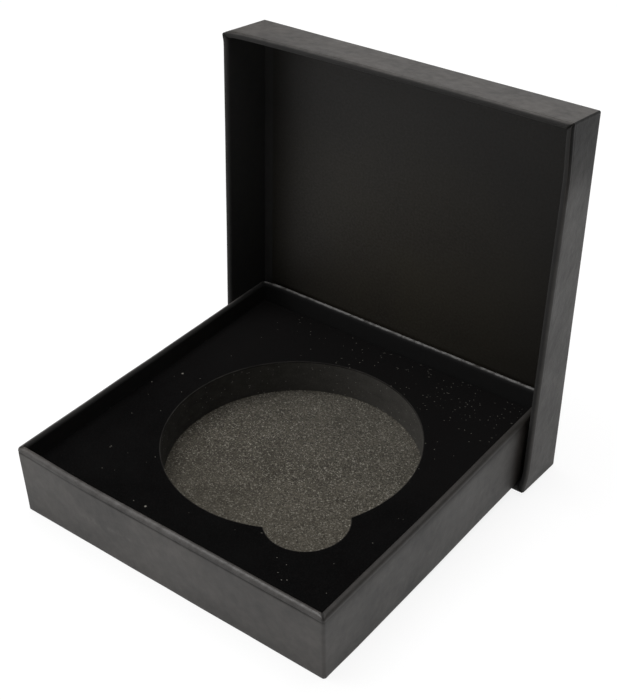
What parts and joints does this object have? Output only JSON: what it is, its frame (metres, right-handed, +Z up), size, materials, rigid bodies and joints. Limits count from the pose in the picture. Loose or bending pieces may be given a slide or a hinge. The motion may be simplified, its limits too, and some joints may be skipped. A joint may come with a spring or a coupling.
{
  "type": "coin display case",
  "caption": "Square two-piece rigid box: a low tray with a round recess and finger notch in foam, and a lift-off lid stood on edge behind it.",
  "frame": {"origin": "on the table, midway across the object and midway between its frontmost and rearmost edges in the display pose", "axes": "+Z up from the table, +Y to the rear, from the base towards the standing lid, +X to the right seen from the front"},
  "size_m": [0.105, 0.1066, 0.1056],
  "materials": {
    "greyboard": "matte",
    "wrap_paper": "matte",
    "lining_paper": "matte",
    "kraft_tape": "matte",
    "grey_sponge": "matte",
    "black_foam": "matte",
    "velvet": "matte"
  },
  "bodies": {
    "base": {"base_board": "greyboard", "base_wrap": "wrap_paper", "base_stay_front_left": "kraft_tape", "base_stay_front_right": "kraft_tape", "base_stay_rear_left": "kraft_tape", "base_stay_rear_right": "kraft_tape", "bed_pad": "grey_sponge"},
    "insert": {"coin_insert": "black_foam", "insert_velvet": "velvet"},
    "lid": {"lid_board": "greyboard", "lid_wrap": "wrap_paper", "lid_stay_top_left": "kraft_tape", "lid_stay_top_right": "kraft_tape", "lid_stay_bottom_left": "kraft_tape", "lid_stay_bottom_right": "kraft_tape", "lid_lining": "lining_paper"}
  },
  "joints": [
    {"name": "lid_pull", "type": "slide", "parent": "base", "child": "lid", "axis": [0, 1, 0], "range_m": [0, 0.03]},
    {"name": "insert_lift", "type": "slide", "parent": "base", "child": "insert", "axis": [0, -0.0316, 0.9995], "range_m": [0, 0.03]}
  ]
}
